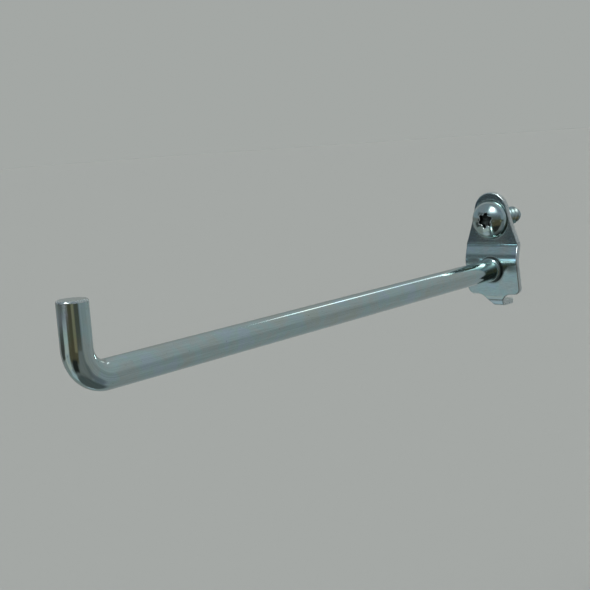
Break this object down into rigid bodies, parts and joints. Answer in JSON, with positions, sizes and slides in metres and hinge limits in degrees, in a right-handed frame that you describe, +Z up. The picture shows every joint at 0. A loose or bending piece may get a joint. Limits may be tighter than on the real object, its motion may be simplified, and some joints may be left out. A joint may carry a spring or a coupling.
{
  "type": "pegboard hook",
  "caption": "Long round-rod hook with an upturned end, riveted to a folded steel plate that is fixed to pegboard by a screw and a tongue.",
  "frame": {"origin": "where the screw's axis meets the plane of the plate's back face, which is the face of the board", "axes": "+Z up, +Y into the board along the screw, the arm reaches out along -Y, +X to the right seen from in front"},
  "size_m": [0.0176, 0.1832, 0.0349],
  "materials": {
    "plate_zinc": "bright zinc plated stamped steel sheet",
    "arm_zinc": "bright zinc plated drawn steel rod",
    "screw_zinc": "bright zinc plated steel screw"
  },
  "bodies": {
    "root": {"mounting_plate": "plate_zinc", "hook_arm": "arm_zinc", "screw": "screw_zinc"}
  },
  "joints": []
}
